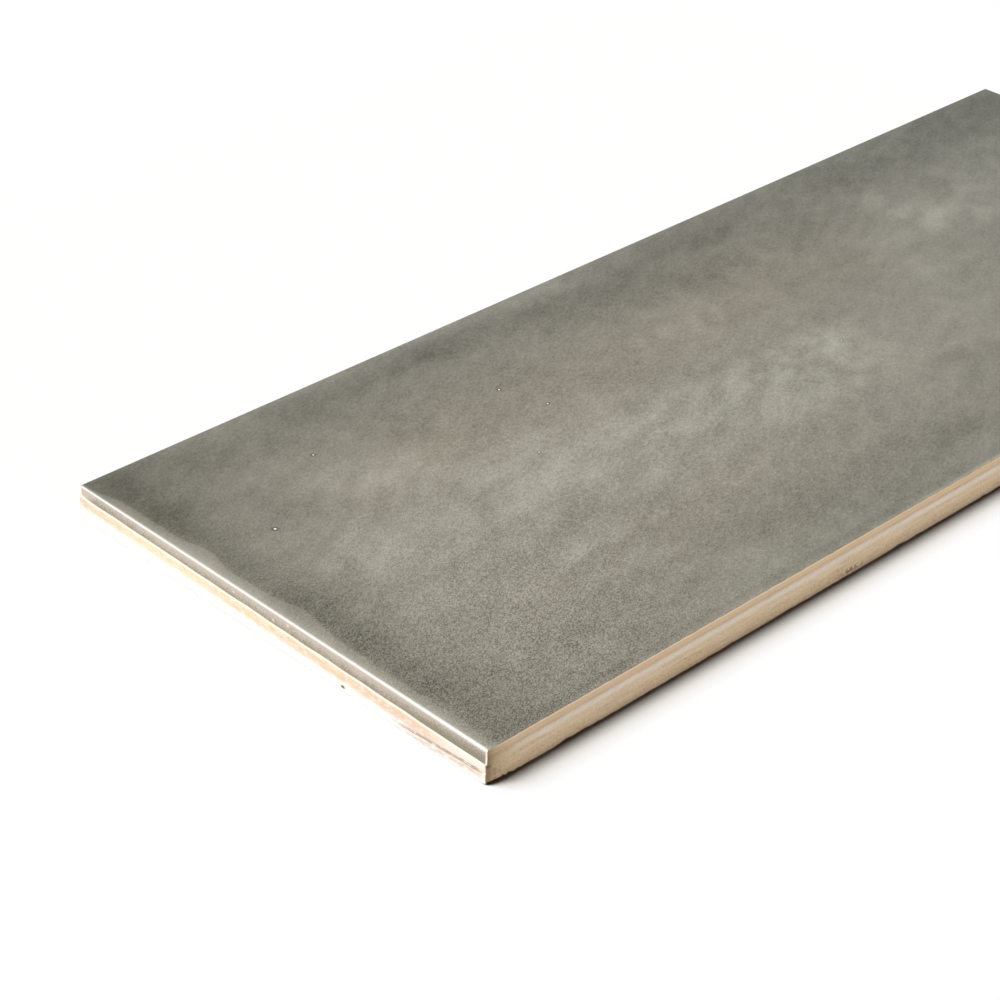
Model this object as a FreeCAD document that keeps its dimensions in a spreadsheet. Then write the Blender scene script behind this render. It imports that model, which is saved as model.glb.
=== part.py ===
"""A pressed and glazed wall tile of subway format, lying on its back with the glazed face up.

Length along X, width along Y, thickness along Z.  The origin is the middle of the tile's footprint,
on the surface it lies on.  The whole tile is one fired piece.  From the face down, its edge is a
rounded arris, a short upright wall, a sloping shoulder, the upright land that is the tile's widest
part, a drafted foot and a small bevel.  Its back is ribbed, to key into the adhesive.
"""
import FreeCAD, Part
import math
import os
import Sketcher

SIZES = {
    # the tile as sold, over its land
    "tile_length": 250.0,
    "tile_width": 100.0,
    "tile_thickness": 6.5,
    "corner_radius": 0.7,
    # upper edge: the arris of the face, the upright wall, and the shoulder out to the land
    "arris_radius": 0.3,
    "wall_depth": 1.4,
    "shoulder_drop": 1.6,
    "shoulder_width": 0.25,
    # lower edge: the drafted foot under the land, and the bevel round the back
    "foot_height": 1.8,
    "foot_draft": 0.1,
    "back_bevel": 0.2,
    # adhesive key: shallow grooves along the back, inside a flat rim
    "key_rim": 7.0,
    "groove_width": 5.0,
    "groove_pitch": 9.0,
    "groove_depth": 0.7,
    "groove_corner": 2.0,
}

doc = FreeCAD.newDocument("wall_tile")
sheet = doc.addObject("Spreadsheet::Sheet", "sizes")
for row, (alias, value) in enumerate(SIZES.items(), start=1):
    sheet.set(f"A{row}", alias)
    sheet.set(f"B{row}", str(value))
    sheet.setAlias(f"B{row}", alias)
doc.recompute()

tile = doc.addObject("PartDesign::Body", "wall_tile")
tile.Label = "wall_tile"


def level_sketch(name, **offsets):
    """A sketch on the plane of the tile's back, moved along y or z by expressions."""
    plane = next(item for item in tile.Origin.OriginFeatures if item.Role == "XY_Plane")
    sketch = tile.newObject("Sketcher::SketchObject", name)
    sketch.AttachmentSupport = [(plane, "")]
    sketch.MapMode = "FlatFace"
    for axis, expression in offsets.items():
        sketch.setExpression(f"AttachmentOffset.Base.{axis}", expression)
    return sketch


def rounded_rectangle(sketch, length, width, radius):
    """Draws a round-cornered rectangle about the sketch's origin, sized by three expressions."""
    half_length = sketch.evalExpression(length) / 2
    half_width = sketch.evalExpression(width) / 2
    corner = sketch.evalExpression(radius)
    core_x = half_length - corner
    core_y = half_width - corner

    def side(x_start, y_start, x_end, y_end):
        ends = FreeCAD.Vector(x_start, y_start), FreeCAD.Vector(x_end, y_end)
        return sketch.addGeometry(Part.LineSegment(*ends))

    def bend(x, y, quarter):
        circle = Part.Circle(FreeCAD.Vector(x, y), FreeCAD.Vector(0, 0, 1), corner)
        return sketch.addGeometry(Part.ArcOfCircle(circle, quarter * math.pi / 2, (quarter + 1) * math.pi / 2))

    # anticlockwise, each side followed by the corner it runs into
    front = side(-core_x, -half_width, core_x, -half_width)
    front_right = bend(core_x, -core_y, 3)
    right = side(half_length, -core_y, half_length, core_y)
    back_right = bend(core_x, core_y, 0)
    back = side(core_x, half_width, -core_x, half_width)
    back_left = bend(-core_x, core_y, 1)
    left = side(-half_length, core_y, -half_length, -core_y)
    front_left = bend(-core_x, -core_y, 2)

    def constrain(*terms):
        return sketch.addConstraint(Sketcher.Constraint(*terms))

    def dimension(name, expression, *terms):
        sketch.renameConstraint(constrain(*terms), name)
        sketch.setExpression(f"Constraints.{name}", expression)

    start_point, end_point, centre_point = 1, 2, 3
    origin = -1
    loop = [front, front_right, right, back_right, back, back_left, left, front_left]
    for piece, following in zip(loop, loop[1:] + loop[:1]):
        constrain("Tangent", piece, end_point, following, start_point)
    constrain("Horizontal", front)
    constrain("Horizontal", back)
    constrain("Vertical", left)
    constrain("Vertical", right)
    for other in (back_right, back_left, front_left):
        constrain("Equal", front_right, other)
    constrain("Symmetric", front_left, centre_point, back_right, centre_point, origin, start_point)
    dimension("length", length, "DistanceX", left, start_point, right, start_point, 2 * half_length)
    dimension("width", width, "DistanceY", front, start_point, back, start_point, 2 * half_width)
    dimension("radius", radius, "Radius", front_right, corner)


def feature(kind, name, **expressions):
    """Adds a feature to the tile and binds its sizes to the sheet."""
    item = tile.newObject(f"PartDesign::{kind}", name)
    for size, expression in expressions.items():
        item.setExpression(size, expression)
    return item


def rim(base, height):
    """Picks the edges of a feature that lie at one height all along, which run round it there."""
    level = 1e-6
    names = [f"Edge{index}" for index, edge in enumerate(base.Shape.Edges, start=1)
             if abs(edge.BoundBox.ZMin - height) < level and abs(edge.BoundBox.ZMax - height) < level]
    return base, names


# The lower slab reaches from the back to the top of the shoulder, at full length and width.
land_outline = level_sketch("land_outline")
rounded_rectangle(land_outline, "sizes.tile_length", "sizes.tile_width", "sizes.corner_radius")
lower_slab = feature("Pad", "lower_slab", Length="sizes.tile_thickness - sizes.wall_depth")
lower_slab.Profile = (land_outline, [""])
doc.recompute()

# The shoulder slopes in from the land to the foot of the upright wall.
shoulder = feature("Chamfer", "shoulder", Size="sizes.shoulder_drop", Size2="sizes.shoulder_width")
shoulder.ChamferType = "Two distances"
shoulder.Base = rim(lower_slab, lower_slab.Shape.BoundBox.ZMax)
doc.recompute()

# The upper slab stands inside the shoulder all round and carries the glazed face.
face_outline = level_sketch("face_outline", z="sizes.tile_thickness - sizes.wall_depth")
rounded_rectangle(face_outline, "sizes.tile_length - 2 * sizes.shoulder_width",
                  "sizes.tile_width - 2 * sizes.shoulder_width", "sizes.corner_radius - sizes.shoulder_width")
upper_slab = feature("Pad", "upper_slab", Length="sizes.wall_depth")
upper_slab.Profile = (face_outline, [""])
doc.recompute()

# The glaze that runs over the arris of the face rounds it.
arris = feature("Fillet", "arris", Radius="sizes.arris_radius")
arris.Base = rim(upper_slab, upper_slab.Shape.BoundBox.ZMax)
doc.recompute()

# The foot draws in below the land, so that the pressed tile leaves its die.
foot = feature("Chamfer", "foot", Size="sizes.foot_height", Size2="sizes.foot_draft")
foot.ChamferType = "Two distances"
foot.Base = rim(arris, arris.Shape.BoundBox.ZMin)
doc.recompute()

# A small bevel breaks the edge of the back.
bevel = feature("Chamfer", "bevel", Size="sizes.back_bevel")
bevel.Base = rim(foot, foot.Shape.BoundBox.ZMin)
doc.recompute()

# The adhesive key: as many grooves as fit inside the rim, centred across the back.
GROOVE_COUNT = ("(floor((sizes.tile_width - 2 * sizes.key_rim - sizes.groove_width)"
                " / sizes.groove_pitch) + 1)")
groove_outline = level_sketch("groove_outline", y=f"(1 - {GROOVE_COUNT}) / 2 * sizes.groove_pitch")
rounded_rectangle(groove_outline, "sizes.tile_length - 2 * sizes.key_rim", "sizes.groove_width",
                  "sizes.groove_corner")
groove = feature("Pocket", "groove", Length="sizes.groove_depth")
groove.Profile = (groove_outline, [""])
groove.Reversed = True
doc.recompute()
key = feature("LinearPattern", "key", Occurrences=GROOVE_COUNT, Offset="sizes.groove_pitch")
key.Originals = [groove]
key.Direction = (groove_outline, ["V_Axis"])
key.Mode = "Spacing"
tile.Tip = key
doc.recompute()

failed = [item.Label for item in doc.Objects if {"Invalid", "Error"} & set(item.State)]
if failed:
    raise RuntimeError(f"failed to build: {failed}")
if tile.Shape.isNull() or not tile.Shape.isValid() or len(tile.Shape.Solids) != 1:
    raise RuntimeError("the tile is not one valid solid")
groove_volume = groove.BaseFeature.Shape.Volume - groove.Shape.Volume
key_volume = bevel.Shape.Volume - key.Shape.Volume
if abs(key_volume - key.Occurrences * groove_volume) > 1e-6 * bevel.Shape.Volume or groove_volume <= 0:
    raise RuntimeError("the grooves of the key are not all cut")

os.makedirs("parts", exist_ok=True)
tile.Shape.exportStep(f"parts/{tile.Label}.step")
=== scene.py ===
import math
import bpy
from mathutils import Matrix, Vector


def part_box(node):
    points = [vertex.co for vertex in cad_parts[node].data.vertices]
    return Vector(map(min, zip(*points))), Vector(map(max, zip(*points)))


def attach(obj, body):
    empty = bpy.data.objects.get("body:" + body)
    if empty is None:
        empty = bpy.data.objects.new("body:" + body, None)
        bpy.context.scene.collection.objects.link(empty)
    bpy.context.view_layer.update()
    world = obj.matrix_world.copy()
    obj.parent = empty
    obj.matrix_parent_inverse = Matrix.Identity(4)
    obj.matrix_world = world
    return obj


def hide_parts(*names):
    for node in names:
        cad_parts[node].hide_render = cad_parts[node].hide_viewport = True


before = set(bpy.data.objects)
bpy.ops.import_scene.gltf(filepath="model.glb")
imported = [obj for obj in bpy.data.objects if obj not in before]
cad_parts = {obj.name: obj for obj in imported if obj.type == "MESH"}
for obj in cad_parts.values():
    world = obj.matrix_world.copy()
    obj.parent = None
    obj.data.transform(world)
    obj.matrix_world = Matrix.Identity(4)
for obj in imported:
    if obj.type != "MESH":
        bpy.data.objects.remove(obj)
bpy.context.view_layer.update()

from types import SimpleNamespace

import bpy
import numpy as np
from mathutils import Matrix, Vector

# The tile is one piece of pressed biscuit, glazed over its face and down its two short edges, then fired.
# Below the face its edge steps out at a shoulder to the land, draws in at the foot, and ends in a worn
# arris round the ribbed back.  The sizes of this section are in millimetres.
MM = 0.001
tile_low, tile_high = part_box("wall_tile")
length, width, thickness = ((high - low) / MM for low, high in zip(tile_low, tile_high))
corner_radius, least_corner = 0.35, 0.06
long_arris, short_arris = 0.18, 0.45
wall_depth = 1.4
shoulder_drop, shoulder_width = 1.6, 0.25
foot_height, foot_draft = 1.8, 0.06
bevel_height, bevel_width = 0.05, 1.4
key_rim = 7.0
groove_width, groove_pitch, groove_depth, groove_corner = 5.0, 9.0, 0.7, 2.0
dip_depth, dip_reach = 0.09, 1.6
short_glaze, long_glaze = 2.66, 0.14
worn_lift, worn_height = 0.75, 2.4
worn_along_front, worn_along_left = 2.8, 0.7
burr_start, burr_rise, burr_depth = -16.7, 0.067, 0.14
crumb_size, crumb_relief = 0.3, 0.10
grid_margin = 2.4
chance = np.random.default_rng(41)


def smooth(low, high, value):
    """Rises from 0 at low to 1 at high, with no slope at either end: 3t^2 - 2t^3 of the share t."""
    share = np.clip((value - low) / (high - low), 0, 1)
    return share * share * (3 - 2 * share)


def crowd(share, pull):
    """Draws shares from -1 to 1 towards both ends: (1 + pull) s - pull s^3."""
    return (1 + pull) * share - pull * share ** 3


def walk_rim(step, bend_steps):
    """Walks anticlockwise round a rectangle with round corners, from the left end of the front edge.
    A rim point is its centre plus the radius times its outward direction: along an edge the centre moves,
    in steps that shorten towards the corners, and the direction stays; round a corner the direction turns
    and the centre stays."""
    reach = np.array([length / 2 - corner_radius, width / 2 - corner_radius])
    corners = np.array([(-1, -1), (1, -1), (1, 1), (-1, 1)]) * reach
    centres, quarters = [], []
    for edge, (start, end) in enumerate(zip(corners, np.roll(corners, -1, axis=0))):
        steps = round(np.linalg.norm(end - start) / step)
        share = 0.5 + 0.5 * crowd(np.linspace(-1, 1, steps, endpoint=False), 0.3)[:, None]
        centres += [start + share * (end - start), np.tile(end, (bend_steps, 1))]
        quarters += [np.full(steps, edge - 1.0), edge - 1.0 + np.arange(bend_steps) / bend_steps]
    bearing = np.concatenate(quarters) * np.pi / 2
    return np.concatenate(centres), np.stack([np.cos(bearing), np.sin(bearing)], 1)


rim_centre, rim_outward = walk_rim(step=0.55, bend_steps=8)
rim_points = rim_centre + corner_radius * rim_outward
rim_steps = np.linalg.norm(np.roll(rim_points, -1, axis=0) - rim_points, axis=1)
rim_length = rim_steps.sum()
along = np.cumsum(rim_steps) - rim_steps


def ripple(shortest, longest, count=40):
    """A smooth random line round the rim: the mean of whole waves with random lengths and phases."""
    turns = chance.uniform(rim_length / longest, rim_length / shortest, (count, 1)).round()
    phases = chance.uniform(0, 2 * np.pi, (count, 1))
    return np.sin(2 * np.pi * turns * along / rim_length + phases).sum(0) / math.sqrt(count / 2)


def relief(height, finest, coarsest, count=90):
    """Random relief on the edge: the mean of plane waves along the rim and up it, at random slants."""
    slant = chance.uniform(0, np.pi, (count, 1, 1))
    wave = 2 * np.pi / chance.uniform(finest, coarsest, (count, 1, 1))
    turns = (wave * np.cos(slant) * rim_length / (2 * np.pi)).round()
    phases = chance.uniform(0, 2 * np.pi, (count, 1, 1))
    waves = np.sin(2 * np.pi * turns * along / rim_length + wave * np.sin(slant) * height + phases)
    return waves.sum(0) / math.sqrt(count / 2)


def nicks(count, narrowest, widest):
    """Small bites out of an arris: a sum of bell curves at random places, widths and depths."""
    places = chance.uniform(0, rim_length, (count, 1))
    reach = chance.uniform(narrowest, widest, (count, 1))
    depth = chance.uniform(0.2, 1.0, (count, 1)) ** 2
    gap = np.abs((along - places + rim_length / 2) % rim_length - rim_length / 2)
    return (depth * np.exp(-(gap / reach) ** 2)).sum(0)


def face_dip(x, y):
    """How far the face lies below its middle, where molten glaze drew back: falls off away from the edge."""
    inside = np.minimum(length / 2 - np.abs(x), width / 2 - np.abs(y))
    return dip_depth * np.exp(-np.clip(inside, 0, None) / dip_reach)


def edge_profile():
    """The profile from the face to the back at each place along the rim: a quarter circle for the arris,
    the side in even drops, then the bevel.  Roll, side and bevel mark those three stretches, and run is
    the length of profile from the face."""
    turn = np.linspace(0, np.pi / 2, 9)[:, None]
    drops = np.append(np.linspace(0, 1, 34)[1:-1], [0.985, 1.0])[:, None]
    under = np.array([0.12, 0.5, 1.0])[:, None]
    on_short = smooth(0.5, 0.9, np.abs(rim_outward[:, 0]))
    arris = long_arris + (short_arris - long_arris) * on_short
    lift = bevel_height * (1 - on_short)
    fall = thickness - lift - arris
    height = np.concatenate([thickness - arris * (1 - np.cos(turn)), thickness - arris - drops * fall,
                             lift * (1 - under)])
    run = np.concatenate([arris * turn, arris * np.pi / 2 + drops * fall,
                          thickness + under * bevel_width + 0 * along])
    roll = np.concatenate([1 - np.sin(turn), 0 * drops, 0 * under])
    side = np.concatenate([0 * turn, 1 + 0 * drops, 0 * under])
    bevel = np.concatenate([0 * turn, 0 * drops, under])
    return SimpleNamespace(on_short=on_short, arris=arris, height=height, depth=thickness - height, run=run,
                           roll=roll, side=side, bevel=bevel)


def glaze_reach():
    """How far down the profile the glaze runs, as a wavy line round the rim: well down the short edges,
    less far towards the front and at the back corners, and only over the arris of the long edges."""
    y = rim_points[:, 1]
    short_reach = short_glaze - 0.0075 * y + 0.025 * ripple(8, 60)
    short_reach = short_reach - 0.2 * smooth(47, 49.8, y)
    long_reach = long_glaze + 0.012 * ripple(2, 25) - 0.03 * nicks(40, 0.3, 0.8)
    return short_reach, long_reach


def step_out(profile, short_reach):
    """How far the profile lies inside the land, as a negative distance.  On a long edge the bare
    shoulder rolls out to the land, a quarter of an ellipse.  On a short edge the glaze fills the shoulder
    and leaves a narrow bare ledge under its own end.  Below the land the foot and the bevel draw in."""
    rolled = 1 - np.clip((profile.depth - wall_depth) / shoulder_drop, 0, 1)
    long_out = -shoulder_width * (1 - np.sqrt(1 - rolled ** 2))
    glazed_out = -shoulder_width + 0.1 * np.clip(profile.depth / 2.6, 0, 1) ** 2
    short_out = glazed_out * (1 - smooth(0.02, 0.3, profile.run - short_reach))
    out = profile.on_short * short_out + (1 - profile.on_short) * long_out - profile.roll * profile.arris
    drawn_in = foot_draft * np.clip((foot_height - profile.height) / foot_height, 0, 1)
    return out - drawn_in - profile.bevel * bevel_width


def wear(profile, out, cover):
    """Roughens and wears the bare biscuit.  Fine relief moves it in.  Random bites nibble its lower arris,
    with a row of small teeth near the front left corner.  That arris is worn up by a height that falls
    off along the rim, away from the corner.  A ragged groove, where the press left a burr, climbs the
    front end of the left edge."""
    side, bevel, height = profile.side, profile.bevel, profile.height
    bare = smooth(0.0, 0.25, -cover) * side
    out = out - bare * (0.016 + 0.014 * relief(height, 0.8, 4.0))

    nibble = np.clip(0.02 * ripple(2, 30) + 0.17 * nicks(110, 0.4, 1.6), 0, None)
    teeth = np.clip(ripple(0.7, 1.8), 0, None) * np.exp(-((along - 4) / 3) ** 2)
    nibble = (nibble + 0.14 * teeth) * (1 - 0.85 * profile.on_short)
    low_down = 1 - smooth(0.0, 1.1, height)
    out = out - 0.5 * nibble * low_down * side
    height = height + nibble * low_down * (height > 0)

    worn_reach = np.where(rim_outward[:, 1] < -0.5, worn_along_front, worn_along_left)
    worn = worn_lift * np.exp(-np.minimum(along, rim_length - along) / worn_reach)
    worn_side = worn * np.clip(1 - height / worn_height, 0, 1) * side
    height = height + worn_side + worn * (1 - bevel) * (bevel > 0)

    burr = smooth(0.6, 0.9, -rim_outward[:, 0]) * smooth(-24, -34, rim_points[:, 1])
    ragged = burr * smooth(-1.2, 0.4, ripple(1.2, 9))
    burr_height = burr_rise * (burr_start - rim_points[:, 1])
    out = out - side * ragged * burr_depth * np.exp(-((height - burr_height) / 0.2) ** 2)
    return np.minimum(out, 0), height


def set_on_rim(out):
    """Moves the rim in by the profile: its centres keep their share of the tile's reach, and its points
    their bearing.  Where the profile draws in past a corner's centre, the corner keeps a small radius."""
    radius = np.maximum(corner_radius + out, least_corner)
    x = rim_centre[:, 0] * (length / 2 + out - radius) / (length / 2 - corner_radius)
    y = rim_centre[:, 1] * (width / 2 + out - radius) / (width / 2 - corner_radius)
    return x + radius * rim_outward[:, 0], y + radius * rim_outward[:, 1]


def crumble(x, y, height):
    """Takes a crumb off the lower corner at the front left: points that lie nearer to the corner, along
    its diagonal, than the crumb's uneven depth move in to that depth."""
    diagonal = math.sqrt(2)
    corner_gap = (x + length / 2 + y + width / 2) / diagonal
    depth = crumb_size * smooth(2.2, 0.8, height) + crumb_relief * relief(height, 0.6, 2.2)
    crumb = np.clip(depth - corner_gap, 0, None)
    return x + crumb / diagonal, y + crumb / diagonal


def tile_edge():
    """The edge as a profile carried round the rim, from the face to the back.  Also gives the run of
    profile from the face to each point, and its cover: how far the glaze runs on past it."""
    profile = edge_profile()
    short_reach, long_reach = glaze_reach()
    cover = profile.on_short * short_reach + (1 - profile.on_short) * long_reach - profile.run
    out, height = wear(profile, step_out(profile, short_reach), cover)
    x, y = set_on_rim(out)
    height = height - face_dip(x, y) * smooth(wall_depth, 0, profile.depth)
    x, y = crumble(x, y, height)
    return np.stack([x, y, np.clip(height, 0, thickness)], -1), profile.run, cover


def face_grid():
    """The glazed face as a height over a grid of lines that crowd towards the edges."""
    x, y = np.meshgrid((length / 2 - grid_margin) * crowd(np.linspace(-1, 1, 101), 0.4),
                       (width / 2 - grid_margin) * crowd(np.linspace(-1, 1, 49), 0.4))
    return np.stack([x, y, thickness - face_dip(x, y)], -1)


def back_grid():
    """The ribbed back as a height over a grid: zero on the rim and the ribs, and the groove's depth inside
    a round-cornered rectangle that repeats across the back, by the signed distance to its outline."""
    count = math.floor((width - 2 * key_rim - groove_width) / groove_pitch) + 1
    half_span, half_groove = count * groove_pitch / 2, groove_width / 2
    wall = np.array([-0.2, 0.0, 0.2, 0.45])
    offsets = np.concatenate([wall - half_groove, [-1.0, 0.0, 1.0], half_groove - wall[::-1],
                              [groove_pitch / 2]])
    groove_lines = (np.arange(count)[:, None] - (count - 1) / 2) * groove_pitch + offsets
    last_y = width / 2 - grid_margin
    lines_y = np.concatenate([[-last_y, -half_span], groove_lines.ravel(), [last_y]])
    groove_end = length / 2 - key_rim
    end_lines = groove_end + np.linspace(-2.6, 0.3, 13)
    middle = np.linspace(4 - groove_end, groove_end - 4, 41)
    last_x = length / 2 - grid_margin
    lines_x = np.concatenate([[-last_x], -end_lines[::-1], middle, end_lines, [last_x]])
    x, y = np.meshgrid(lines_x, lines_y)
    folded = np.where(np.abs(y) < half_span, (y + half_span) % groove_pitch - groove_pitch / 2, y)
    beyond_x = np.abs(x) - (groove_end - groove_corner)
    beyond_y = np.abs(folded) - (half_groove - groove_corner)
    outside = np.hypot(np.clip(beyond_x, 0, None), np.clip(beyond_y, 0, None)) - groove_corner
    distance = outside + np.clip(np.maximum(beyond_x, beyond_y), None, 0)
    return np.stack([x, y, groove_depth * smooth(0.1, -0.35, distance)], -1)


def grid_faces(index):
    """Quads between neighbouring rows and columns of a grid of vertex numbers."""
    return np.stack([index[:-1, :-1], index[:-1, 1:], index[1:, 1:], index[1:, :-1]], -1).reshape(-1, 4)


def grid_loop(index):
    """The vertex numbers round a grid, anticlockwise from its first corner."""
    return np.concatenate([index[0, :-1], index[:-1, -1], index[-1, :0:-1], index[:0:-1, 0]])


def zip_loops(points, outer, inner):
    """Triangles between two closed loops of different counts, one inside the other.  Both are followed
    by their angle about the middle, and each step takes the next point of the loop that is behind."""
    def next_angles(loop):
        angle = np.unwrap(np.arctan2(points[loop, 1] / width, points[loop, 0] / length))
        return np.append(angle[1:], angle[0] + 2 * np.pi)
    order = np.argsort(np.concatenate([next_angles(outer), next_angles(inner)]), kind="stable")
    takes_outer = order < len(outer)
    at_outer, at_inner = np.cumsum(takes_outer), np.cumsum(~takes_outer)
    outer_now, inner_now = outer[at_outer % len(outer)], inner[at_inner % len(inner)]
    outer_before, inner_before = outer[(at_outer - 1) % len(outer)], inner[(at_inner - 1) % len(inner)]
    return np.where(takes_outer[:, None], np.stack([outer_before, outer_now, inner_now], 1),
                    np.stack([outer_now, inner_now, inner_before], 1))


def tile_mesh():
    """Joins the edge, the face and the back into one closed skin.  Each point keeps its run of profile
    from the face and its cover of glaze, which the finish reads."""
    edge, edge_run, edge_cover = tile_edge()
    face, back = face_grid(), back_grid()
    points = np.concatenate([part.reshape(-1, 3) for part in (edge, face, back)])
    numbers = np.arange(len(points))
    on_face, on_back = face[..., 0].size, back[..., 0].size
    edge_end = edge[..., 0].size
    face_end = edge_end + on_face
    edge_index = numbers[:edge_end].reshape(edge.shape[:2])
    face_index = numbers[edge_end:face_end].reshape(face.shape[:2])
    back_index = numbers[face_end:].reshape(back.shape[:2])
    closed = np.concatenate([edge_index, edge_index[:, :1]], 1)
    quads = np.concatenate([grid_faces(closed)[:, ::-1], grid_faces(face_index),
                            grid_faces(back_index)[:, ::-1]])
    triangles = np.concatenate([zip_loops(points, edge_index[0], grid_loop(face_index)),
                                zip_loops(points, edge_index[-1], grid_loop(back_index))[:, ::-1]])
    run = np.concatenate([edge_run.ravel(), np.full(on_face, -grid_margin),
                          np.full(on_back, edge_run.max())])
    cover = np.concatenate([edge_cover.ravel(), np.full(on_face, edge_cover.max()),
                            np.full(on_back, edge_cover.min())])

    mesh = bpy.data.meshes.new("glazed_tile")
    mesh.from_pydata(points * MM, [], quads.tolist() + triangles.tolist())
    for name, values in (("edge_run", run), ("glaze_cover", cover)):
        mesh.attributes.new(name, "FLOAT", "POINT").data.foreach_set("value", values.astype(np.float32))
    mesh.polygons.foreach_set("use_smooth", np.ones(len(mesh.polygons), bool))
    mesh.update()
    return mesh


class Wire:
    """A value in a material's node tree.  Arithmetic on wires adds Math nodes to that tree."""

    def __init__(self, socket):
        self.socket = socket

    def node(self, kind, settings, sockets, output=None):
        """Adds a node of a type, with its settings, and the values or wires of its sockets.  A colour is
        given as red, green and blue."""
        tree = self.socket.id_data
        made = tree.nodes.new(kind)
        for name, value in settings.items():
            if name == "stops":
                for _ in value[2:]:
                    made.color_ramp.elements.new(1.0)
                for element, (place, colour) in zip(made.color_ramp.elements, value):
                    element.position, element.color = place, (*colour, 1.0)
            else:
                setattr(made, name, value)
        for name, value in sockets.items():
            target = next(socket for socket in made.inputs
                          if socket.enabled and name in (socket.identifier, socket.name))
            if isinstance(value, Wire):
                tree.links.new(value.socket, target)
            else:
                target.default_value = (*value, 1.0) if target.type == "RGBA" else value
        offered = [socket for socket in made.outputs if socket.enabled]
        return Wire(next((socket for socket in offered if socket.name == output), offered[0]))

    def math(self, operation, first, second):
        return self.node("ShaderNodeMath", {"operation": operation}, {"Value": first, "Value_001": second})

    def __add__(self, other):
        return self.math("ADD", self, other)

    def __sub__(self, other):
        return self.math("SUBTRACT", self, other)

    def __rsub__(self, other):
        return self.math("SUBTRACT", other, self)

    def __mul__(self, other):
        return self.math("MULTIPLY", self, other)

    def __truediv__(self, other):
        return self.math("DIVIDE", self, other)

    def __rpow__(self, other):
        return self.math("POWER", other, self)

    def __neg__(self):
        return self * -1.0

    def __abs__(self):
        return self.node("ShaderNodeMath", {"operation": "ABSOLUTE"}, {"Value": self})

    __radd__ = __add__
    __rmul__ = __mul__

    def at_least(self, other):
        return self.math("MAXIMUM", self, other)

    def at_most(self, other):
        return self.math("MINIMUM", self, other)

    def bell(self, middle, reach):
        """1 where the wire is at middle, and falls to 1/e at a reach either side."""
        share = (self - middle) / reach
        return math.e ** -(share * share)

    def between(self, low, high):
        """Rises smoothly from 0 where the wire is at low to 1 where it is at high."""
        settings = {"interpolation_type": "SMOOTHSTEP"}
        return self.node("ShaderNodeMapRange", settings, {"Value": self, "From Min": low, "From Max": high})

    def noise(self, size, detail=2.0, stretch=(1, 1, 1)):
        """Noise over a place in millimetres, with marks of a size that is stretched along the axes."""
        scale = [1 / (size * share) for share in stretch]
        spot = self.node("ShaderNodeVectorMath", {"operation": "MULTIPLY"},
                         {"Vector": self, "Vector_001": scale})
        return self.node("ShaderNodeTexNoise", {}, {"Vector": spot, "Scale": 1.0, "Detail": detail}, "Fac")

    def mix(self, first, second):
        """A colour that goes from first to second as the wire goes from 0 to 1."""
        return self.node("ShaderNodeMix", {"data_type": "RGBA"}, {"Factor": self, "A": first, "B": second})

    def ramp(self, stops):
        """A colour read off a ramp, whose stops each have a value of the wire and a colour."""
        return self.node("ShaderNodeValToRGB", {"stops": stops}, {"Fac": self})


def squared_gap(across, up, middle_across, middle_up):
    """The square of the distance from a spot, over two wires."""
    return (across - middle_across) * (across - middle_across) + (up - middle_up) * (up - middle_up)


# The glaze was laid on in slanting passes, and its finer mottling is drawn out along them.
pass_bearing = math.radians(27)


def read_surface(tree):
    """Where a point of the finish lies: its place in millimetres, also turned to the glaze's passes, its
    run of profile, its cover of glaze, and how near it is to the edges."""
    origin = Wire(tree.nodes.new("ShaderNodeTexCoord").outputs["Object"])
    place = origin.node("ShaderNodeVectorMath", {"operation": "SCALE"}, {"Vector": origin, "Scale": 1 / MM})
    passes = origin.node("ShaderNodeMapping", {}, {"Vector": place, "Rotation": (0, 0, -pass_bearing)})
    x, y, z = (origin.node("ShaderNodeSeparateXYZ", {}, {"Vector": place}, axis) for axis in "XYZ")
    run, cover = (origin.node("ShaderNodeAttribute", {"attribute_name": name}, {}, "Fac")
                  for name in ("edge_run", "glaze_cover"))
    from_short_edge = length / 2 - abs(x)
    on_short_edge = 1 - from_short_edge.between(0.7, 1.0)
    on_long_edge = abs(y).between(width / 2 - 0.5, width / 2 - 0.3)
    return SimpleNamespace(
        place=place, passes=passes, x=x, y=y, z=z, run=run, cover=cover,
        from_short_edge=from_short_edge, from_long_edge=width / 2 - abs(y), on_short_edge=on_short_edge,
        on_long_edge=on_long_edge, bare_short=on_short_edge * (1 - on_long_edge),
        fine_grain=passes.noise(0.2, 1.0, (1.6, 1, 1)).between(0.25, 0.75))


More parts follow.
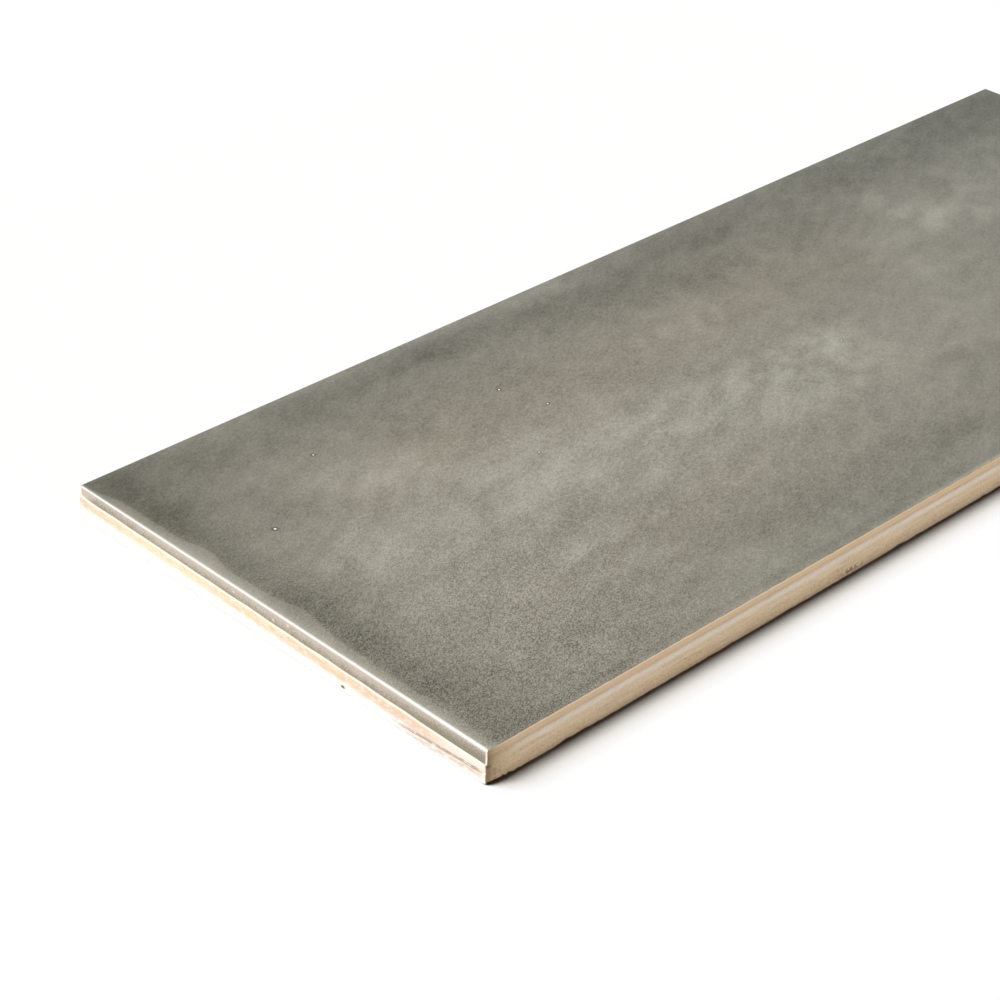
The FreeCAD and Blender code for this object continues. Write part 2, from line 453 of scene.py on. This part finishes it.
# Clouds in the glaze.  Each row is a cloud's strength, its middle, and its half length and half width.
pale_clouds = [
    (0.70, -104, -1, 9, 8), (0.45, -88, 18, 10, 9), (0.50, -75, 5, 15, 9), (0.60, -60, 2, 10, 9),
    (0.80, -40, 0, 13, 7), (0.70, -15, -3, 18, 6), (0.80, 7, -4, 9, 6), (0.50, -106, -16, 6, 5),
    (0.50, -80, -24, 14, 8), (0.50, 60, 30, 16, 6), (0.60, 68, 17, 12, 6), (0.40, 28, 27, 9, 4),
    (0.40, 5, -16, 14, 5), (0.35, -4, 22, 8, 7), (0.40, -85, -6, 18, 6), (0.30, -20, -14, 24, 5),
    (0.40, -50, -13, 14, 7), (0.35, -12, -10, 9, 8), (0.30, -78, -4, 12, 7), (0.30, -92, 25, 9, 7),
    (0.30, -80, 15, 7, 7), (0.45, -18, 46, 10, 4), (0.30, 60, 20, 18, 8), (0.25, -82, -43, 14, 6),
    (0.20, 65, 46, 22, 4), (0.45, -71, -25, 9, 6), (0.30, -96, -44, 9, 6), (0.25, -13, -29, 8, 7),
    (0.20, -100, 46, 6, 4), (0.20, -30, -5, 12, 5), (0.20, -5, 46, 22, 4), (0.30, -75, -25, 10, 6),
    (0.20, -15, -31, 9, 7), (0.25, 40, 15, 7, 6), (0.20, 85, 25, 10, 6)]
dark_clouds = [
    (0.45, 0, 46, 140, 7), (0.28, -112, 36, 16, 16), (0.30, -1, -40, 20, 8), (0.25, 10, 35, 60, 8),
    (0.20, -25, -42, 45, 8), (0.25, -117, -10, 8, 10), (0.25, 65, 2, 15, 10), (-0.25, 15, 46, 45, 6),
    (0.25, -119, -25, 10, 32), (0.20, -45, -36, 35, 6), (0.30, -70, 26, 7, 6), (0.40, -23, 38, 11, 5),
    (0.35, 0, 15, 9, 5), (0.35, 28, 44, 13, 5), (0.20, 25, -27, 9, 8), (0.20, 5, -42, 9, 8),
    (0.20, 70, 5, 8, 5), (0.12, 115, 43, 10, 6), (0.20, -30, 15, 8, 5), (0.18, 18, 15, 15, 6),
    (0.20, 30, 26, 12, 6), (0.20, -50, 45, 8, 4), (0.15, -116, -14, 8, 6), (0.15, 46, -5, 9, 6),
    (0.25, -114, 47, 14, 5), (0.20, 20, 29, 12, 4), (-0.22, 22, 38, 13, 4), (0.15, 60, 42, 12, 3),
    (0.24, -105, 25, 9, 5), (0.18, -20, 35, 6, 5)]


def ovals(place, rows):
    """Adds up soft ovals: each is its strength over e to the square of the distance from its middle, in
    shares of its half length and half width."""
    total = 0
    for strength, middle_x, middle_y, half_length, half_width in rows:
        shares = {"Vector": place, "Vector_001": (1 / half_length, 1 / half_width, 0),
                  "Vector_002": (-middle_x / half_length, -middle_y / half_width, 0)}
        spot = place.node("ShaderNodeVectorMath", {"operation": "MULTIPLY_ADD"}, shares)
        squared = spot.node("ShaderNodeVectorMath", {"operation": "DOT_PRODUCT"},
                            {"Vector": spot, "Vector_001": spot}, "Value")
        total = total + strength * (1 / math.e) ** squared
    return total


def glaze_clouds(at):
    """The pale and the dark clouds, over a place that coarse noise pulls out of shape.  The pale ones are
    broken into wisps, and the glaze is darker towards the right and the back."""
    def pulled(axis_wire, offset):
        shifted = at.place.node("ShaderNodeVectorMath", {"operation": "ADD"},
                                {"Vector": at.place, "Vector_001": (offset, 0, 0)})
        return axis_wire + 10 * (shifted.noise(20) - 0.5) + 6 * (shifted.noise(6) - 0.5)

    drift_x, drift_y = pulled(at.x, 0), pulled(at.y, 300)
    drifted = at.place.node("ShaderNodeCombineXYZ", {}, {"X": drift_x, "Y": drift_y})
    wisps = at.passes.noise(6, 2.0, (1.75, 1, 1)).between(0.3, 0.7)
    pale = ovals(drifted, pale_clouds) * (0.35 + 1.3 * wisps)
    dark = ovals(drifted, dark_clouds) + 0.3 * at.x.between(-40, 40) + 0.35 * at.y.between(5, 45)
    dark = dark + 0.35 * at.x.between(10, 110) * at.y.between(-10, 45)
    return pale, dark, drift_x, drift_y


def short_edge_strip(at):
    """Along the short edges the glaze drew back over the arris and left a smooth pale strip with a lobed
    border, which is narrow and dim at the back corners, and a dark band inside it.  The glow towards the
    edge is partly that thin glaze and partly painted sheen of the light on the rolled arris."""
    lobes = 1.2 * at.y.bell(19, 4) + 1.5 * at.y.bell(-5, 6) - 1.7 * at.y.between(39, 48)
    lobes = lobes + 0.8 * (at.place.noise(9) - 0.5) + 0.5 * (at.place.noise(1.5) - 0.5)
    past_strip = (at.from_short_edge - lobes).between(2.1, 2.8)
    dark_band = past_strip * (1 - at.from_short_edge.between(3, 13)) * (0.5 + 0.5 * at.y.between(-45, -15))
    dimmed = 0.4 * at.y.between(25, 45) + 0.25 * at.y.between(40, 48)
    # Painted sheen: the glow brightens the glaze towards the short edge, where the rolled arris catches
    # light.
    edge_sheen_glow = math.e ** (at.from_short_edge / -1.3) * (1 - dimmed)
    return past_strip, dark_band, edge_sheen_glow


def long_edge_lines(at):
    """What the long edges add to the glaze's tone, where it is thin: a narrow dark line a little inside
    the front edge, with a painted highlight on the rim outside it, and along part of the back edge a
    light margin, with a faint dark line inside it."""
    front_half = 1 - at.y.between(-1, 1)
    back_half = 1 - front_half
    towards_right = at.x.between(-50, -5)
    front_line = front_half * at.from_long_edge.bell(1.9 + 0.5 * towards_right, 0.8 + 0.6 * towards_right)
    # Painted highlight: the front rim is lighter, more so towards the right.
    front_rim_highlight = front_half * (1 - at.from_long_edge.between(0.4, 1.2)) * (0.05 + 0.22 * towards_right)
    back_gap = at.from_long_edge + 2.5 * (at.place.noise(5) - 0.5)
    back_margin = back_half * at.x.bell(-58, 32) * (1 - back_gap.between(0.5, 5.0))
    back_line = back_half * at.x.bell(-45, 50) * back_gap.bell(8.0, 2.6)
    return front_rim_highlight - 0.09 * front_line + 0.13 * back_margin - 0.07 * back_line


def glaze_grain(at, past_strip):
    """The speckle of the glaze: a fine grain that is strongest near the front left corner, and a coarser
    one that is strongest left of the middle.  Both are a little calmer on the pale strip."""
    near_corner = at.x.bell(-125, 60) * at.y.bell(-50, 60)
    inside_corner = at.x.bell(-95, 20) * at.y.bell(-30, 25)
    near_middle = at.x.bell(-45, 60) * at.y.bell(-5, 40)
    fine_strength = 0.2 + 0.75 * near_corner + 0.5 * inside_corner + 0.4 * near_middle
    coarse_strength = 0.42 + 0.46 * near_middle - 0.3 * near_corner
    coarse_grain = at.passes.noise(0.6, 2.0, (1.6, 1, 1))
    grain = 0.66 * coarse_strength * (coarse_grain - 0.5) + 0.5 * fine_strength * (at.fine_grain - 0.5)
    return grain * (0.75 + 0.25 * past_strip)


def pinholes(at):
    """A few pinholes, where gas left the melt: a painted glint in a dark ring.  Each has a place and a size.
    """
    spots = [(-109.3, 17.1, 0.24), (-89.4, 30.7, 0.18), (-50.1, 25.4, 0.19), (-47.1, 16.0, 0.18),
             (10.0, -4.2, 0.15), (-60.0, 5.1, 0.15)]
    gaps = [squared_gap(at.x, at.y, spot_x, spot_y) / size ** 2 for spot_x, spot_y, size in spots]
    nearest = gaps[0]
    for gap in gaps[1:]:
        nearest = nearest.at_most(gap)
    return 1 - nearest.between(0.4, 1.6), math.e ** (nearest * -0.25)


# The glaze's colours from dark to light, where it is grey, warm or greenish, and those of the biscuit.
grey_glaze = [(0.0, (0.028, 0.023, 0.005)), (0.25, (0.129, 0.1185, 0.086)), (0.5, (0.230, 0.214, 0.168)),
              (1.0, (0.432, 0.405, 0.331))]
warm_glaze = [(0.0, (0.032, 0.023, 0.002)), (0.5, (0.234, 0.211, 0.157)), (1.0, (0.437, 0.399, 0.315))]
green_glaze = [(0.0, (0.025, 0.027, 0.006)), (0.5, (0.226, 0.221, 0.173)), (1.0, (0.427, 0.415, 0.340))]
# Painted highlights: the first white is a glint in the pinholes, the second lies along the glaze's arris.
pinhole_glint_white, arris_highlight_white = (0.95, 0.94, 0.90), (0.82, 0.80, 0.76)
thin_glaze, pooled_glaze = (0.55, 0.47, 0.39), (0.23, 0.196, 0.138)
sandy_biscuit = [(0.0, (0.58, 0.40, 0.22)), (0.5, (0.80, 0.605, 0.385)), (1.0, (0.87, 0.715, 0.51))]
orange_biscuit, ruddy_biscuit, yellow_biscuit = (0.81, 0.575, 0.35), (0.78, 0.55, 0.405), (0.83, 0.71, 0.45)
# Dust with painted sheen on the shoulder, slip painted as a highlight, and near white painted as glare.
dust_and_sheen, slip_highlight, glare_white = (0.93, 0.81, 0.675), (0.95, 0.84, 0.70), (0.93, 0.915, 0.865)
# Smeared clay, painted shade along the burr's groove, and rust.
smeared_clay, groove_shade_brown, rust = (0.46, 0.36, 0.26), (0.25, 0.18, 0.12), (0.72, 0.53, 0.41)
# Painted shade by the corner, in blotches, and in a pit and a chip (the black); the smudge brown is dirt.
corner_shade_brown, blotch_shade_brown, smudge_brown = (0.20, 0.13, 0.05), (0.26, 0.18, 0.09), (0.22, 0.16, 0.08)
pit_shade_black = (0.10, 0.07, 0.04)
glaze_roughness, biscuit_roughness = 0.30, 0.85


def face_glaze(at):
    """The glaze on the face.  Its tone adds up the clouds, the strips and lines along the edges, the
    mottling and the grain, and three ramps turn it into colours that are mixed from place to place."""
    pale, dark, drift_x, drift_y = glaze_clouds(at)
    past_strip, dark_band, strip_sheen_glow = short_edge_strip(at)
    grain = glaze_grain(at, past_strip)
    pinhole_glint, pinhole_ring = pinholes(at)
    drifts = at.place.noise(14, 1.0, (1.8, 1, 1)) - 0.5
    mottling = at.passes.noise(3.2, 2.0, (1.75, 1, 1)) - 0.5
    tone = 0.49 + 0.75 * strip_sheen_glow + 0.22 * pale - 0.31 * dark - 0.20 * dark_band - 0.8 * pinhole_ring
    tone = tone + long_edge_lines(at) + 0.34 * drifts + grain
    tone = tone + (0.17 + 0.15 * at.from_short_edge.between(3, 20)) * mottling
    # The darkest glaze is mottled and speckled too.
    tone = tone.at_least(0.07 + 0.25 * mottling + 0.6 * grain)
    coolness = pale.between(0.2, 1.2)
    warmth = drift_y.bell(19, 12) * at.x.between(-110, -70) * (1 - at.x.between(20, 70))
    warmth = warmth * (1 - 0.6 * coolness) + 0.5 * drift_y.bell(-26, 8) * drift_x.bell(-55, 35)
    greenness = 0.6 * at.y.between(36, 48) + at.x.between(30, 95) + 0.5 * coolness
    greenness = greenness + 0.8 * (1 - at.y.between(-46, -40)) * at.x.between(-100, -10)
    colour = greenness.mix(warmth.mix(tone.ramp(grey_glaze), tone.ramp(warm_glaze)), tone.ramp(green_glaze))
    # Painted highlight: a white glint in each pinhole.
    return pinhole_glint.mix(colour, pinhole_glint_white)


def edge_glaze(at, colour):
    """On the short edges the glaze is thin and pale at the top and pools at its lower end.  White is painted
    along the arris and at the corners as a painted highlight, where the glaze also breaks thin, and in a
    few painted glints on the side."""
    pool_noise = 0.8 * (at.place.noise(2.5) - 0.5) + 1.2 * (at.place.noise(0.7) - 0.5)
    pool_noise = pool_noise + 1.3 * (at.fine_grain - 0.5)
    pool_ends = 0.8 * (1 - at.y.between(-48, -25)) + 0.5 * at.y.between(28, 44) - 1.8 * at.y.between(45, 49.5)
    pool_depth = (at.run + pool_ends + pool_noise).between(0.7, 3.2)
    on_side = at.on_short_edge * at.run.between(0.4, 0.85)
    colour = on_side.mix(colour, pool_depth.mix(thin_glaze, pooled_glaze))
    corner_highlight = on_side * abs(at.y).between(width / 2 - 0.7, width / 2 - 0.45)
    # Painted highlight along the arris and down the corners, where the glaze also breaks thin.
    arris_highlight_line = at.on_short_edge * at.run.bell(0.44, 0.19 + 0.12 * (1 - at.y.between(-49, -15)))
    painted_highlight = arris_highlight_line.at_least(corner_highlight)
    # Painted highlights: three glints on the side's glaze.
    for glint_y, glint_z in ((-4.5, 5.45), (-0.9, 4.75), (9.0, 5.1)):
        glint = on_side * math.e ** (squared_gap(at.y, at.z, glint_y, glint_z) * -25)
        painted_highlight = painted_highlight.at_least(glint)
    return painted_highlight.mix(colour, arris_highlight_white)


def bare_biscuit(at):
    """Bare biscuit is sandy and faintly streaked.  On a long edge it is orange on the wall, and the shoulder
    is paler, partly dust brushed along at a slant and partly painted sheen where it faces up to the
    light.  Also gives the height of its grain."""
    streak = at.place.noise(0.6, 2.0, (10, 10, 1))
    sand = at.place.noise(0.35, 3.0)
    tone = 0.5 + 0.9 * (streak - 0.5) + 1.3 * (sand - 0.5) + 0.5 * (at.place.noise(0.16) - 0.5)
    on_wall = at.z.between(4.75, 5.3) * (1 - at.on_short_edge)
    colour = (on_wall * (0.45 + 0.7 * streak)).mix(tone.ramp(sandy_biscuit), orange_biscuit)
    slanted = at.place.node("ShaderNodeCombineXYZ", {}, {"X": at.x - 1.6 * at.z, "Y": at.y, "Z": 0.25 * at.z})
    brushed = slanted.noise(0.7, 3.0)
    # Dust and painted sheen on the shoulder, and a fainter band lower down.
    dust_and_sheen_share = at.z.bell(4.45, 0.7) * (1 - on_wall) + 0.3 * at.z.bell(2.9, 0.35)
    dust_and_sheen_share = dust_and_sheen_share * (0.25 + 1.3 * brushed) * at.x.between(-123.5, -114)
    return dust_and_sheen_share.mix(colour, dust_and_sheen), 0.05 * sand + 0.03 * streak


def short_edge_biscuit(at, colour):
    """On the short edges the biscuit goes from ruddy at the front to yellow, and it is painted near white
    low down, at the front end and in flecks, painted glare of strong light.  A line of slip runs under
    the end of the glaze, all round, painted paler as a highlight where the ledge and arris catch light."""
    wandering = at.y + 50 * (at.place.noise(9) - 0.5) + 70 * (at.place.noise(1.3, 3.0) - 0.5)
    yellowness = wandering.between(-35, 35) * (1 - 0.7 * at.y.between(33, 44))
    colour = (0.85 * at.bare_short).mix(colour, yellowness.mix(ruddy_biscuit, yellow_biscuit))
    low_zone = 1 - (at.z - 0.012 * at.y + 1.2 * (at.place.noise(1.6, 3.0) - 0.5)).between(1.5, 2.7)
    front_zone = 0.65 * (1 - at.y.between(-45, -33))
    flecks = 0.45 * at.place.noise(0.6, 4.0, (1, 2.0, 0.7)).between(0.40, 0.68)
    # Painted glare: these zones are painted near white as if strongly lit.
    painted_glare = at.bare_short * low_zone.at_least(front_zone.at_least(flecks))
    colour = painted_glare.mix(colour, glare_white)
    # Painted highlight: the pale slip line under the glaze's end, where the ledge and arris catch the light.
    slip_highlight_line = at.cover.node("ShaderNodeMix", {}, {"Factor": at.on_short_edge,
                                                    "A": at.cover.bell(-0.12, 0.14),
                                                    "B": at.cover.bell(-0.18, 0.18)})
    return (slip_highlight_line * (1 - 0.8 * at.x.between(-60, 0))).mix(colour, slip_highlight)


def burr_marks(at, colour):
    """The dark broken band of the press burr near the front of the left edge: smeared clay along the
    burr, two dark lines in it that paint shade along the burr's groove, and rust below."""
    burr_gap = at.z - burr_rise * (burr_start - at.y) + 0.3 * (at.place.noise(4.0, 4.0) - 0.5)
    crumbly = at.place.noise(0.35, 3.0, (1, 4, 1))
    on_burr = at.bare_short * (1 - at.x.between(-124.2, -124.0))
    on_burr = on_burr * (1 - at.y.between(-35, -27)) * at.y.between(-49.2, -48.2)
    smear = burr_gap.bell(0.0, 0.34) * crumbly.between(0.25, 0.6)
    # Painted shade: two dark lines along the edges of the burr's groove.
    groove_shade_lines = (burr_gap.bell(0.15, 0.09) + burr_gap.bell(-0.16, 0.09)) * crumbly.between(0.32, 0.5)
    rusty = burr_gap.bell(-0.85, 0.5) * crumbly.between(0.3, 0.6)
    colour = (0.75 * smear * on_burr).mix(colour, smeared_clay)
    colour = (0.85 * groove_shade_lines * on_burr).mix(colour, groove_shade_brown)
    return (0.9 * rusty * on_burr).mix(colour, rust)


def corner_shade_and_marks(at, colour):
    """Marks on the biscuit: painted shade by the front left corner, brown and in blotches, a pit and a chip
    in the left edge painted dark as shade, and a smudge low on the front edge."""
    on_front = at.on_long_edge * (1 - at.y.between(0, 1))
    from_corner = at.x + length / 2
    blotches = at.place.noise(0.6, 2.0)
    painted_corner_shade = 0.85 * math.e ** ((from_corner - 0.2) / -2.0) + 0.07 * math.e ** (from_corner / -14)
    # Painted shade: the front wall darkens to brown towards the front left corner.
    colour = (on_front * painted_corner_shade).mix(colour, corner_shade_brown)
    blotch_shade = from_corner.bell(1.4, 1.5) * (1 - at.z.between(2.4, 3.8)) * blotches.between(0.48, 0.62)
    # Painted shade: dark blotches stand for the shading of a crumbly bump by the corner.
    colour = (0.55 * on_front * blotch_shade).mix(colour, blotch_shade_brown)
    pit = math.e ** (squared_gap(at.y, at.z, -49.8, 3.6) * -12)
    chip = 1.5 * math.e ** (squared_gap(at.y / 2, at.z, -17.7 / 2, 0.84) * -20)
    on_left = 1 - at.x.between(-124.4, -124.0)
    # Painted shade: the pit and the chip are only dark spots in the colour.
    colour = (on_left * (pit + chip)).mix(colour, pit_shade_black)
    smudge = at.x.bell(-41.5, 2.8) * at.z.bell(0.95, 0.55) * blotches.between(0.42, 0.56)
    return (0.95 * smudge * (1 - at.y.between(-49, -48))).mix(colour, smudge_brown)


def glazed_biscuit():
    """The fired finish: a clouded satin glaze where it covers the tile, and bare biscuit elsewhere."""
    material = bpy.data.materials.new("glazed_biscuit")
    material.use_nodes = True
    tree = material.node_tree
    shader = tree.nodes["Principled BSDF"]
    at = read_surface(tree)
    glaze_colour = edge_glaze(at, face_glaze(at))
    biscuit_colour, biscuit_height = bare_biscuit(at)
    for layer in (short_edge_biscuit, burr_marks, corner_shade_and_marks):
        biscuit_colour = layer(at, biscuit_colour)
    glazed = at.cover.between(-0.03, 0.03)
    roughness = biscuit_roughness + (glaze_roughness - biscuit_roughness) * glazed
    glaze_height = 0.010 * at.place.noise(1.1, 2.0) + 0.003 * at.fine_grain
    height = glaze_height * glazed + biscuit_height * (1 - glazed)
    bump = height.node("ShaderNodeBump", {}, {"Height": height, "Distance": MM, "Strength": 1.0})
    tree.links.new(glazed.mix(biscuit_colour, glaze_colour).socket, shader.inputs["Base Color"])
    tree.links.new(roughness.socket, shader.inputs["Roughness"])
    tree.links.new(bump.socket, shader.inputs["Normal"])
    return material


tile = bpy.data.objects.new("glazed_tile", tile_mesh())
bpy.context.scene.collection.objects.link(tile)
tile.data.materials.append(glazed_biscuit())
# The tile sends no light back to the paper beside it, so its contact shadow stays deep.
tile.visible_diffuse = False
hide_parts("wall_tile")
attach(tile, "root")

# The floor is a wide sheet of matt white paper under the tile.  It looks white to the camera and in
# reflections, and gives the tile back a plain pale light.
floor_reach = 4.0
paper_gap = 0.000004
white, pale_grey = (1.0, 1.0, 1.0), (0.90, 0.90, 0.90)
floor_mesh = bpy.data.meshes.new("paper_floor")
floor_corners = [(x * floor_reach, y * floor_reach, -paper_gap)
                 for x, y in ((-1, -1), (1, -1), (1, 1), (-1, 1))]
floor_mesh.from_pydata(floor_corners, [], [(0, 1, 2, 3)])
floor = bpy.data.objects.new("paper_floor", floor_mesh)
bpy.context.scene.collection.objects.link(floor)


def seen_directly(tree):
    """A wire that is 1 for camera, glossy and transmission rays, and 0 for light bounced off matt things."""
    path = tree.nodes.new("ShaderNodeLightPath")
    camera_ray, glossy_ray, through_ray = (Wire(path.outputs[f"Is {ray} Ray"])
                                           for ray in ("Camera", "Glossy", "Transmission"))
    return camera_ray.at_least(glossy_ray.at_least(through_ray))


paper = bpy.data.materials.new("white_paper")
paper.use_nodes = True
paper_shader = paper.node_tree.nodes["Principled BSDF"]
paper_shader.inputs["Roughness"].default_value = 1.0
paper_shader.inputs["Specular IOR Level"].default_value = 0.0
paper_colour = seen_directly(paper.node_tree).mix(pale_grey, white)
paper.node_tree.links.new(paper_colour.socket, paper_shader.inputs["Base Color"])
floor_mesh.materials.append(paper)


# Studio light: a soft key from the left in two halves, a broad cooler one and a narrower warmer one that
# add up to white, a low card in front that only reaches the upright edge, and a dim white room.
def soft_lamp(name, bearing, elevation, strength, spread, colour=(1, 1, 1)):
    """A distant lamp: its bearing is anticlockwise from +X, its strength what it gives a matt white face
    that is turned to it.  Reflected rays don't meet it, as its light is worked out at each surface."""
    lamp = bpy.data.lights.new(name, "SUN")
    lamp.energy = strength * math.pi
    lamp.color = colour
    lamp.angle = math.radians(spread)
    lamp.cycles.use_multiple_importance_sampling = False
    lamp_object = bpy.data.objects.new(name, lamp)
    lamp_object.rotation_euler = (0, math.radians(90 - elevation), math.radians(bearing))
    bpy.context.scene.collection.objects.link(lamp_object)


soft_lamp("key_lamp", bearing=142, elevation=50, strength=0.806, spread=38, colour=(0.75, 0.855, 1.0))
soft_lamp("warm_key", bearing=158.5, elevation=50, strength=0.695, spread=23, colour=(1.0, 0.88, 0.71))
soft_lamp("front_card", bearing=-90, elevation=2, strength=0.26, spread=4)
room_glow = (0.016, 0.007, 0.002)
room = bpy.data.worlds.new("white_room")
room.use_nodes = True
bpy.context.scene.world = room
background = room.node_tree.nodes["Background"]
room_colour = seen_directly(room.node_tree).mix(room_glow, white)
room.node_tree.links.new(room_colour.socket, background.inputs["Color"])

# The camera looks down on the front left corner from the left, a little tilted, with a long lens.
camera_place = (-0.34216, -0.27232, 0.24609)
camera_bearing, camera_elevation, camera_tilt = (math.radians(angle) for angle in (-44.530, 32.237, 1.142))
camera_data = bpy.data.cameras.new("camera")
camera_data.sensor_width = 36.0
camera_data.lens = 96.24
camera = bpy.data.objects.new("camera", camera_data)
backwards = Vector((math.sin(camera_bearing) * math.cos(camera_elevation),
                    -math.cos(camera_bearing) * math.cos(camera_elevation), math.sin(camera_elevation)))
rightwards = Vector((math.cos(camera_bearing), math.sin(camera_bearing), 0))
upright = Matrix((rightwards, backwards.cross(rightwards), backwards)).transposed().to_4x4()
camera.matrix_world = Matrix.Translation(camera_place) @ upright @ Matrix.Rotation(camera_tilt, 4, "Z")
bpy.context.scene.collection.objects.link(camera)
bpy.context.scene.camera = camera
bpy.context.scene.view_settings.view_transform = "Standard"
